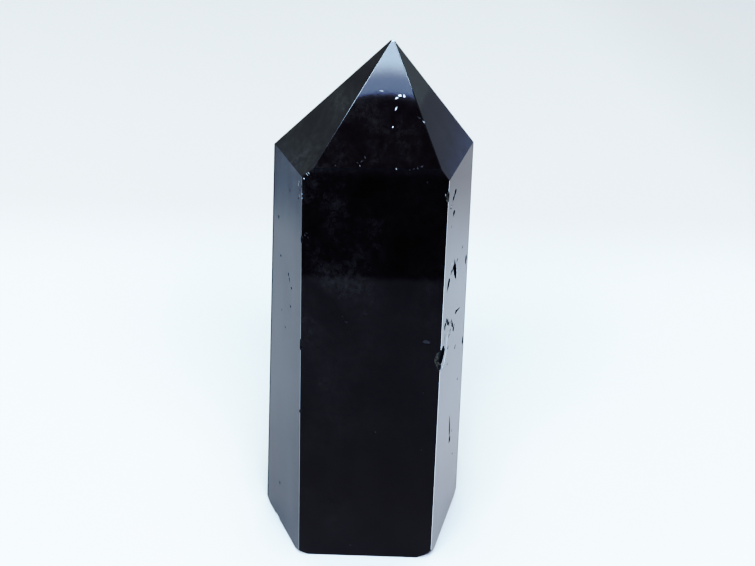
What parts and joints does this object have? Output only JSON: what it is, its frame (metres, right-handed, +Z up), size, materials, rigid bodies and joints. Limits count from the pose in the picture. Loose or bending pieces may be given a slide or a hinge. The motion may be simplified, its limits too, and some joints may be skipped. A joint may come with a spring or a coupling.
{
  "type": "morion quartz crystal",
  "caption": "Polished point of near-black smoky quartz: an upright hexagonal prism with a pyramid tip, standing on its flat foot.",
  "frame": {"origin": "on the surface it stands on, under the middle of its outline seen from above", "axes": "+Z up along the crystal towards its tip, +Y away from the wide front face, +X to the right of the front face"},
  "size_m": [0.0268, 0.0194, 0.072],
  "materials": {
    "morion": "polished, glassy, near-black"
  },
  "bodies": {
    "root": {"crystal_point": "morion"}
  },
  "joints": []
}
